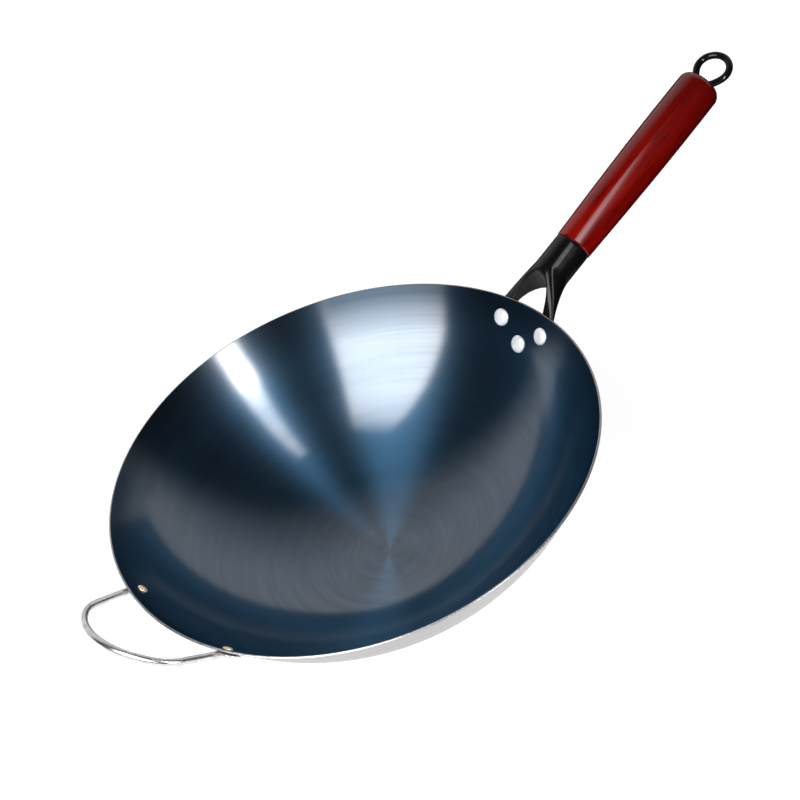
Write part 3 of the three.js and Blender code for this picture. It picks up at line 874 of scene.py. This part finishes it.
def set_rivets(name, places, sizes, material):
    """Rivets at places on the wall, as one piece."""
    points = add_mesh(name, [place[0] for place in places], [])
    way = points.data.attributes.new("inwards", "FLOAT_VECTOR", "POINT")
    way.data.foreach_set("vector", [-c for place in places for c in place[1]])
    group = bpy.data.node_groups.get("wall_rivets") or rivet_tree()
    run_geometry_tree(points, group, {**sizes, "Material": material})
    if "inwards" in points.data.attributes:
        points.data.attributes.remove(points.data.attributes["inwards"])
    soften(points, 40)
    return points


# Operators

class WOK_OT_bowl(bpy.types.Operator):
    """Spins the bowl, blued inside and ground outside."""

    bl_idname = "wok.bowl"
    bl_label = "Bowl"

    def execute(self, context):
        bowl = context.scene.wok_bowl
        outside = [(0.0, 0.0)] + wall_profile(bowl, 0.0)
        inside = wall_profile(bowl, -bowl.sheet)[::-1] + [(0.0, bowl.sheet)]
        bulge = bowl.sheet * 0.28
        crest = ((0.75, 0.18), (1.0, 0.5), (0.75, 0.82))
        lip = [wall_point(bowl, -bulge * rise, -bowl.sheet * share) for rise, share in crest]
        piece = turned("bowl", outside + lip + inside, bowl.sides)
        dress(piece, ground_steel(bowl), cut_edge(bowl), blued_steel(bowl))
        first_lip = len(outside) - 1
        first_inside = first_lip + len(lip) + 1
        for face in piece.data.polygons:
            span = face.index // bowl.sides
            face.material_index = 0 if span < first_lip else 1 if span < first_inside else 2
        soften(piece, 30)
        hand_over(piece, "blued_steel", "wok_bowl")
        return {"FINISHED"}


class WOK_OT_bracket(bpy.types.Operator):
    """Presses the forked bracket out of a tube and welds it to its saddle plate."""

    bl_idname = "wok.bracket"
    bl_label = "Bracket"

    def fork(self, scene):
        """The body of the ferrule and the fork, pressed wide and flat towards the foot."""
        bowl, bracket = scene.wok_bowl, scene.wok_bracket
        place = handle_place(bowl, bracket)
        foot = place.inverted() @ wall_place(bowl, bracket.foot_from_rim, 0, 1)[0]
        start = -bracket.ferrule_length
        end = foot.x - 3 * bracket.saddle
        turn = place.to_3x3()
        across, up = turn @ Vector((0, -1, 0)), turn @ UP
        radius = bracket.ferrule_radius
        stations = 40
        edge = 0.0005
        lag = 0.12
        squareness = 0.6
        rings = []
        for x, r in ((0.0, radius - edge), (-edge, radius)):
            rings.append(oval(place @ Vector((x, 0, 0)), across, up, r, r, ROUND_SIDES))
        for i in range(stations):
            x = start + (end - start) * i / (stations - 1)
            run = (x - start) / (foot.x - start)
            press = eased(min(1.0, run))
            a = radius + (bracket.foot_half_width - radius) * (1 + lag) * run * run / (run + lag)
            b = radius + (bracket.foot_half_height - radius) * press
            centre = place @ Vector((x, 0, foot.z * run * run))
            rings.append(oval(centre, across, up, a, b, ROUND_SIDES, 2 + squareness * press))
        return skin("handle_bracket", rings, capped=True)

    def gap(self, scene):
        """The gap between the legs: a blunt upright arch, open towards the bowl."""
        bracket = scene.wok_bracket
        steps = 48
        apex = -bracket.ferrule_length - bracket.gap_from_ferrule
        opening = -(bracket.ferrule_length + bracket.fork_length + bracket.gap_past_rim)
        outline = []
        for share in shares(steps):
            t = 2 * share - 1
            half = bracket.gap_end_half_width * (3 + t * t) + 3 * bracket.gap_fullness * (1 - t * t)
            outline.append((apex + (opening - apex) * t * t, t * half / 4))
        tall = 4 * bracket.ferrule_radius
        return prism("gap", outline, -tall / 2, tall / 2, handle_place(scene.wok_bowl, bracket))

    def saddle(self, scene):
        """The plate on the wall: a shell round the bowl kept within a rounded triangle."""
        bowl, bracket, rivets = scene.wok_bowl, scene.wok_bracket, scene.wok_rivets
        steps = 20
        reach = rivets.lower_from_rim + 2 * bracket.saddle_margin
        down = [reach * i / steps for i in range(steps + 1)]
        profile = [wall_point(bowl, d, GAP + bracket.saddle) for d in down[::-1]]
        profile += [wall_point(bowl, d, GAP) for d in down]
        shell = turned("saddle", profile, bowl.sides, closed=True)
        half = rivets.upper_spacing / 2
        corners = [
            Vector((-half, rivets.upper_from_rim)),
            Vector((half, rivets.upper_from_rim)),
            Vector((0, rivets.lower_from_rim)),
        ]
        corner_steps = 16
        outline = []
        for i, corner in enumerate(corners):
            before, after = corner - corners[i - 1], corners[(i + 1) % 3] - corner
            first = math.atan2(before.y, before.x) - math.pi / 2
            bend = (math.atan2(after.y, after.x) - math.pi / 2 - first) % math.tau
            for k in range(corner_steps + 1):
                t = first + bend * k / corner_steps
                outline.append(corner + bracket.saddle_margin * Vector((math.cos(t), math.sin(t))))
        rim, outwards, up_wall = wall_place(bowl, 0, 0, 1)
        place = axes(rim, Vector((0, 1, 0)), -up_wall, -outwards)
        deep = 4 * bracket.saddle
        return combine(shell, "INTERSECT", prism("outline", outline, -deep, deep, place))

    def keep_out(self, bowl):
        """Everything inside the wall and above it."""
        above = wall_point(bowl, -bowl.rim_radius, GAP)
        wall = wall_profile(bowl, GAP, arc_steps=24, cone_steps=4)
        profile = [(0.0, -GAP), *wall, above, (0.0, above[1])]
        return turned("keep_out", profile, bowl.sides)

    def execute(self, context):
        scene = context.scene
        bowl, bracket, rivets = scene.wok_bowl, scene.wok_bracket, scene.wok_rivets
        closed_end = bracket.bulkhead - bracket.ferrule_length
        bore_radius = bracket.ferrule_radius - bracket.ferrule_wall
        past_mouth = 0.01
        profile = [(0, closed_end), (bore_radius, closed_end), (bore_radius, past_mouth), (0, past_mouth)]
        bore = turned("bore", profile, ROUND_SIDES, along_handle(bowl, bracket))
        piece = self.fork(scene)
        combine(piece, "DIFFERENCE", self.gap(scene))
        combine(piece, "UNION", self.saddle(scene))
        combine(piece, "DIFFERENCE", self.keep_out(bowl))
        room = rivets.tail + 2 * GAP
        plate = GAP + bracket.saddle
        for place in rivet_places(scene):
            combine(piece, "DIFFERENCE", wall_drill(place, room, plate, plate + bracket.ferrule_radius))
        weld = piece.modifiers.new("weld", "REMESH")
        weld.mode = "VOXEL"
        weld.voxel_size = 0.00042
        blend = piece.modifiers.new("blend", "SMOOTH")
        blend.factor = 0.5
        blend.iterations = 36
        settled(piece)
        combine(piece, "DIFFERENCE", bore)
        dress(piece, black_paint("black_bracket_paint", bracket.paint))
        soften(piece, 40)
        hand_over(piece, "black_steel", "handle_bracket")
        return {"FINISHED"}


class WOK_OT_grip(bpy.types.Operator):
    """Turns the wooden grip."""

    bl_idname = "wok.grip"
    bl_label = "Grip"

    def execute(self, context):
        scene = context.scene
        bowl, bracket, grip = scene.wok_bowl, scene.wok_bracket, scene.wok_grip
        bore = scene.wok_eye.rod + GAP
        tenon = bracket.ferrule_radius - bracket.ferrule_wall - GAP
        ease = 0.0006
        past_swell = 1.25
        steps, round_steps = 40, 14
        end_at = grip.length - grip.end_round
        profile = [(bore, -grip.tenon), (tenon, -grip.tenon), (tenon, GAP), (grip.neck - ease, GAP)]
        for i in range(steps + 1):
            x = GAP + ease + (end_at - GAP - ease) * i / steps
            swell = math.sin(math.pi / 2 * min(past_swell, x / grip.swell_at))
            profile.append((grip.neck + (grip.swell - grip.neck) * swell, x))
        shoulder = profile[-1][0]
        for i in range(1, round_steps + 1):
            t = math.pi / 2 * i / round_steps
            radius = shoulder - grip.end_round * (1 - math.cos(t))
            profile.append((radius, end_at + grip.end_round * math.sin(t)))
        profile.append((bore, grip.length))
        piece = turned("wooden_handle", profile, ROUND_SIDES, along_handle(bowl, bracket), closed=True)
        wood = red_wood(grip, handle_place(bowl, bracket))
        dress(piece, wood)
        seat = sweep("eye_seat", eye_stations(scene, bore), WIRE_SIDES, wood, closed=True)
        combine(piece, "DIFFERENCE", seat)
        soften(piece, 40)
        hand_over(piece, "red_wood", "wooden_grip")
        return {"FINISHED"}


class WOK_OT_eye(bpy.types.Operator):
    """Bends the hanging eye and joins it to its rod, and finishes the nut that holds the rod."""

    bl_idname = "wok.eye"
    bl_label = "Tie rod and eye"

    def execute(self, context):
        scene = context.scene
        bowl, bracket, grip, eye = scene.wok_bowl, scene.wok_bracket, scene.wok_grip, scene.wok_eye
        paint = black_paint("black_wire_paint", bracket.paint)
        piece = sweep("hanging_eye", eye_stations(scene, eye.rod), WIRE_SIDES, paint, closed=True)
        start = -bracket.ferrule_length + bracket.bulkhead + 2 * GAP
        end = grip.length + eye.rod - eye.sunk
        chamfer = 0.0006
        profile = [
            (0, start),
            (eye.rod - chamfer, start),
            (eye.rod, start + chamfer),
            (eye.rod, end),
            (0, end),
        ]
        combine(piece, "UNION", turned("rod", profile, WIRE_SIDES, along_handle(bowl, bracket)))
        dress(piece, paint)
        soften(piece, 50)
        hand_over(piece, "black_wire", "tie_rod_eye")
        dress(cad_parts["anchor_nut"], bright_metal("plain_nut_steel", eye.nut, 0.42, 1400.0))
        return {"FINISHED"}


class WOK_OT_rivets(bpy.types.Operator):
    """Sets the rivets of both handles."""

    bl_idname = "wok.rivets"
    bl_label = "Rivets"

    def sizes(self, bowl, rivets, tail, plate):
        """Sizes of the rivets that hold a plate to the outside of the wall."""
        return {
            "Head": rivets.head,
            "Head Height": rivets.head_height,
            "Head Base": bowl.sheet + GAP / 2,
            "Tail": tail[0],
            "Tail Height": tail[1],
            "Tail Base": -(2 * GAP + plate),
            "Shank": rivets.shank,
        }

    def execute(self, context):
        scene = context.scene
        bowl, rivets, helper = scene.wok_bowl, scene.wok_rivets, scene.wok_helper
        sizes = self.sizes(bowl, rivets, (rivets.tail, rivets.tail_height), scene.wok_bracket.saddle)
        metal = bright_metal("rivet_aluminium", rivets.metal, 0.42, 1100.0, depth=0.5, metallic=0.55)
        piece = set_rivets("handle_rivets", rivet_places(scene), sizes, metal)
        hand_over(piece, "rivet_aluminium", "handle_rivet_left", "handle_rivet_right", "handle_rivet_lower")
        sizes = self.sizes(bowl, helper, (helper.head, helper.head_height), helper.paddle)
        metal = bright_metal("rivet_brass", helper.brass, 0.40, 1300.0, metallic=0.7)
        piece = set_rivets("helper_rivets", helper_rivet_places(scene), sizes, metal)
        hand_over(piece, "rivet_brass", "helper_rivet_left", "helper_rivet_right")
        return {"FINISHED"}


class WOK_OT_helper(bpy.types.Operator):
    """Bends the helper handle from wire and flattens its ends on the wall."""

    bl_idname = "wok.helper"
    bl_label = "Helper handle"

    def half_line(self, scene):
        """Half of the wire's line, from a flat end to the bow's middle: place, flatness, width, facing."""
        helper = scene.wok_helper
        tip_steps, neck_steps, flat_steps, leg_steps, corner_steps, bow_steps = 12, 8, 3, 12, 12, 20
        tip_narrowest, tip_share = 0.02, 0.9
        rest_flat, turned_share = 0.05, 0.4
        point, outwards, up_wall = helper_rivet_places(scene)[0]
        out = Vector((-math.cos(helper.rise), 0, math.sin(helper.rise)))
        loop_down = Vector((-math.sin(helper.rise), 0, -math.cos(helper.rise)))
        base = point + outwards * (GAP + helper.paddle / 2)

        def in_loop(reach, y):
            """A place in the loop's plane."""
            spot = base + out * reach
            spot.y = y
            return spot

        line = []
        for t in shares(tip_steps):
            width = math.sqrt(max(tip_narrowest, 1 - (1 - t) ** 2))
            line.append((base - up_wall * helper.paddle_tip * (1 - tip_share * t), 1.0, width, outwards))
        lift = outwards * (helper.wire - helper.paddle / 2)
        leg_start = base + up_wall * helper.paddle_half_width + lift
        neck_from = line[-1][0]
        for t in shares(neck_steps, 1):
            share = eased(t)
            flat = 1 - (1 - rest_flat) * share
            facing = outwards.lerp(loop_down, turned_share * share).normalized()
            line.append((neck_from.lerp(leg_start - lift, t) + lift * share, flat, 1.0, facing))
        corner_at = in_loop(helper.reach - helper.bow_rise, helper.corner_half_width)
        leg = corner_at - leg_start
        trim = 1 - helper.corner_radius / leg.length
        for i in range(1, leg_steps + 1):
            flat = rest_flat * max(0, 1 - i / flat_steps)
            line.append((leg_start + leg * trim * (i / leg_steps), flat, 1.0, loop_down))
        bow_radius = (helper.corner_half_width ** 2 + helper.bow_rise ** 2) / (2 * helper.bow_rise)
        bow_half = math.asin(helper.corner_half_width / bow_radius)

        def on_bow(t):
            """A place on the bow, from its middle to the corner."""
            drop = bow_radius * (1 - math.cos(bow_half * t))
            return in_loop(helper.reach - drop, bow_radius * math.sin(bow_half * t))

        bow_trim = 1 - helper.corner_radius / (bow_radius * bow_half)
        first, last = line[-1][0], on_bow(bow_trim)
        for t in shares(corner_steps, 1):
            spot = first * (1 - t) ** 2 + corner_at * (2 * t * (1 - t)) + last * t * t
            line.append((spot, 0.0, 1.0, loop_down))
        for t in shares(bow_steps, 1):
            line.append((on_bow(bow_trim * (1 - t)), 0.0, 1.0, loop_down))
        return line

    def execute(self, context):
        scene = context.scene
        helper = scene.wok_helper
        mirror = Matrix.Diagonal((1, -1, 1))
        line = self.half_line(scene)
        line += [(mirror @ spot, flat, width, mirror @ facing) for spot, flat, width, facing in line[-2::-1]]
        stations = []
        for i, (spot, flat, width, facing) in enumerate(line):
            along = (line[min(i + 1, len(line) - 1)][0] - line[max(i - 1, 0)][0]).normalized()
            across = facing.cross(along).normalized()
            facing = along.cross(across).normalized()
            half_width = (helper.wire + (helper.paddle_half_width - helper.wire) * flat) * width
            half_height = helper.wire + (helper.paddle / 2 - helper.wire) * flat
            stations.append((spot, across, facing, half_width, half_height))
        steel = bright_metal("bright_wire_steel", helper.steel, 0.22, 700.0, depth=0.15)
        piece = sweep("helper_loop", stations, HELPER_SIDES, steel)
        soften(piece, 50)
        hand_over(piece, "bright_wire", "helper_handle")
        return {"FINISHED"}


class WOK_OT_stage(bpy.types.Operator):
    """Sets up the studio: floor, walls, softboxes and camera."""

    bl_idname = "wok.stage"
    bl_label = "Studio"

    def floor(self, stage):
        """A pale floor that shows white to the camera and in the metal, and dark in it beyond the bowl."""
        half = 14.0
        dark_from, dark_to = 0.12, 0.28
        corners = [(-half, -half, 0), (half, -half, 0), (half, half, 0), (-half, half, 0)]
        floor = add_mesh("floor", corners, [(0, 1, 2, 3)])
        material, tree = new_finish("studio_floor")
        rays = tree.add("ShaderNodeLightPath").socket.node.outputs
        kinds = ("Is Camera Ray", "Is Glossy Ray", "Is Transmission Ray")
        camera, glossy, clear = (Value(tree, rays[kind]) for kind in kinds)
        seen = camera.math("MINIMUM", camera + glossy + clear, 1.0)
        matt = tree.add("ShaderNodeBsdfDiffuse", {}, {"Color": stage.floor})
        glow = tree.add("ShaderNodeEmission", {}, {"Color": (1, 1, 1), "Strength": seen * stage.floor_glow})
        both = tree.add("ShaderNodeAddShader", {}, {0: matt, 1: glow})
        black = tree.add("ShaderNodeBsdfDiffuse", {}, {"Color": (0, 0, 0)})
        dark = glossy * tree.spread(position(tree).xyz()[0], dark_from, dark_to)
        whole = tree.add("ShaderNodeMixShader", {}, {0: dark, 1: both, 2: black})
        tree.add("ShaderNodeOutputMaterial", {}, {"Surface": whole})
        dress(floor, material)

    def walls(self, stage):
        """The studio round the object: a white back wall that fades up and to its sides, and a dim rest."""
        world = bpy.data.worlds.new("studio")
        bpy.context.scene.world = world
        world.use_nodes = True
        tree = Tree(world.node_tree)
        x, y, z = tree.add("ShaderNodeTexCoord", output="Generated").xyz()

        def facing(azimuth):
            """How far a direction faces an azimuth, from -1 to 1."""
            turn = math.radians(azimuth)
            return x * math.cos(turn) + y * math.sin(turn)

        wall_at, middle_at, steepness = 62, 50, 1.1
        fading_up = tree.spread(facing(wall_at) * steepness - z, -0.75, 0.12)
        fading_aside = tree.spread(facing(middle_at), 0.15, 0.40)
        shade = tree.mix(fading_up * fading_aside, [stage.ceiling] * 3, [stage.wall] * 3)
        back = tree.add("ShaderNodeBackground", {}, {"Color": shade, "Strength": 1.0})
        tree.add("ShaderNodeOutputWorld", {}, {"Surface": back})

    def softbox(self, name, power, azimuth, elevation, lean, size, taper, edge, fade):
        """A softbox in a direction from the bowl, facing it; it narrows and fades upwards."""
        aim, distance = Vector((0.03, 0.0, 0.05)), 1.7
        width, height = size
        light = bpy.data.lights.new(name, "AREA")
        light.shape = "RECTANGLE"
        light.size, light.size_y = size
        light.energy = power * math.pi * width * height
        turn, lift = math.radians(azimuth), math.radians(elevation)
        way = Vector((math.cos(lift) * math.cos(turn), math.cos(lift) * math.sin(turn), math.sin(lift)))
        facing = way.to_track_quat("Z", "Y") @ Quaternion(UP, math.radians(lean))
        lamp = add_object(name, light)
        lamp.location = aim + way * distance
        lamp.rotation_euler = facing.to_euler()
        lamp.visible_camera = False
        light.use_nodes = True
        tree = Tree(light.node_tree)
        place = tree.add("ShaderNodeNewGeometry", output="Position")

        def measured(axis):
            """A place on the softbox along one of its axes, from its middle."""
            along = facing @ Vector(axis)
            return sum(part * share for part, share in zip(place.xyz(), along)) - along.dot(lamp.location)

        up = measured((0, 1, 0)) / height + 0.5
        aside = measured((1, 0, 0))
        aside = aside.math("ABSOLUTE", aside) / (width / 2) / (1 - up * taper)
        glow = tree.add("ShaderNodeValToRGB", {"stops": fade}, {0: up})
        glow = glow * tree.spread(aside, edge, 1.0, 1.0, 0.0)
        shine = tree.add("ShaderNodeEmission", {}, {"Color": (1, 1, 1), "Strength": glow})
        tree.add("ShaderNodeOutputLight", {}, {"Surface": shine})

    def camera(self, lens):
        """The camera at the photograph's place."""
        data = bpy.data.cameras.new("camera")
        data.sensor_width = 36.0
        data.lens = lens
        data.clip_end = 60.0
        place = (-0.55254, -1.12614, 1.2135)
        right, up = Vector((0.7059, -0.65156, -0.2778)), Vector((0.61202, 0.36364, 0.70229))
        right.normalize()
        back = right.cross(up).normalized()
        camera = add_object("camera", data)
        camera.matrix_world = axes(place, right, back.cross(right), back)
        bpy.context.scene.camera = camera

    def execute(self, context):
        stage = context.scene.wok_stage
        self.floor(stage)
        self.walls(stage)
        for name, box in SOFTBOXES.items():
            self.softbox(name, getattr(stage, name), **box)
        self.camera(stage.lens)
        context.scene.view_settings.view_transform = "Standard"
        return {"FINISHED"}


class WOK_PT_panel(bpy.types.Panel):
    """Lists the wok's pieces."""

    bl_label = "Wok"
    bl_idname = "WOK_PT_panel"
    bl_space_type = "VIEW_3D"
    bl_region_type = "UI"
    bl_category = "Wok"

    def draw(self, context):
        for maker in MAKERS:
            self.layout.operator(maker.bl_idname)


SETTINGS = {
    "wok_bowl": WokBowlSettings,
    "wok_bracket": WokBracketSettings,
    "wok_grip": WokGripSettings,
    "wok_eye": WokEyeSettings,
    "wok_rivets": WokRivetSettings,
    "wok_helper": WokHelperSettings,
    "wok_stage": WokStageSettings,
}
MAKERS = (
    WOK_OT_bowl,
    WOK_OT_bracket,
    WOK_OT_grip,
    WOK_OT_eye,
    WOK_OT_rivets,
    WOK_OT_helper,
    WOK_OT_stage,
)


def register():
    """Registers the settings, the operators and the panel."""
    for group in SETTINGS.values():
        bpy.utils.register_class(group)
    for name, group in SETTINGS.items():
        setattr(bpy.types.Scene, name, PointerProperty(type=group))
    for maker in (*MAKERS, WOK_PT_panel):
        bpy.utils.register_class(maker)


def unregister():
    """Takes the panel, the operators and the settings away."""
    for maker in (WOK_PT_panel, *reversed(MAKERS)):
        bpy.utils.unregister_class(maker)
    for name, group in reversed(list(SETTINGS.items())):
        delattr(bpy.types.Scene, name)
        bpy.utils.unregister_class(group)


def main():
    """Makes every piece and the studio."""
    register()
    bpy.ops.wok.bowl()
    bpy.ops.wok.bracket()
    bpy.ops.wok.grip()
    bpy.ops.wok.eye()
    bpy.ops.wok.rivets()
    bpy.ops.wok.helper()
    bpy.ops.wok.stage()


if __name__ == "__main__":
    main()
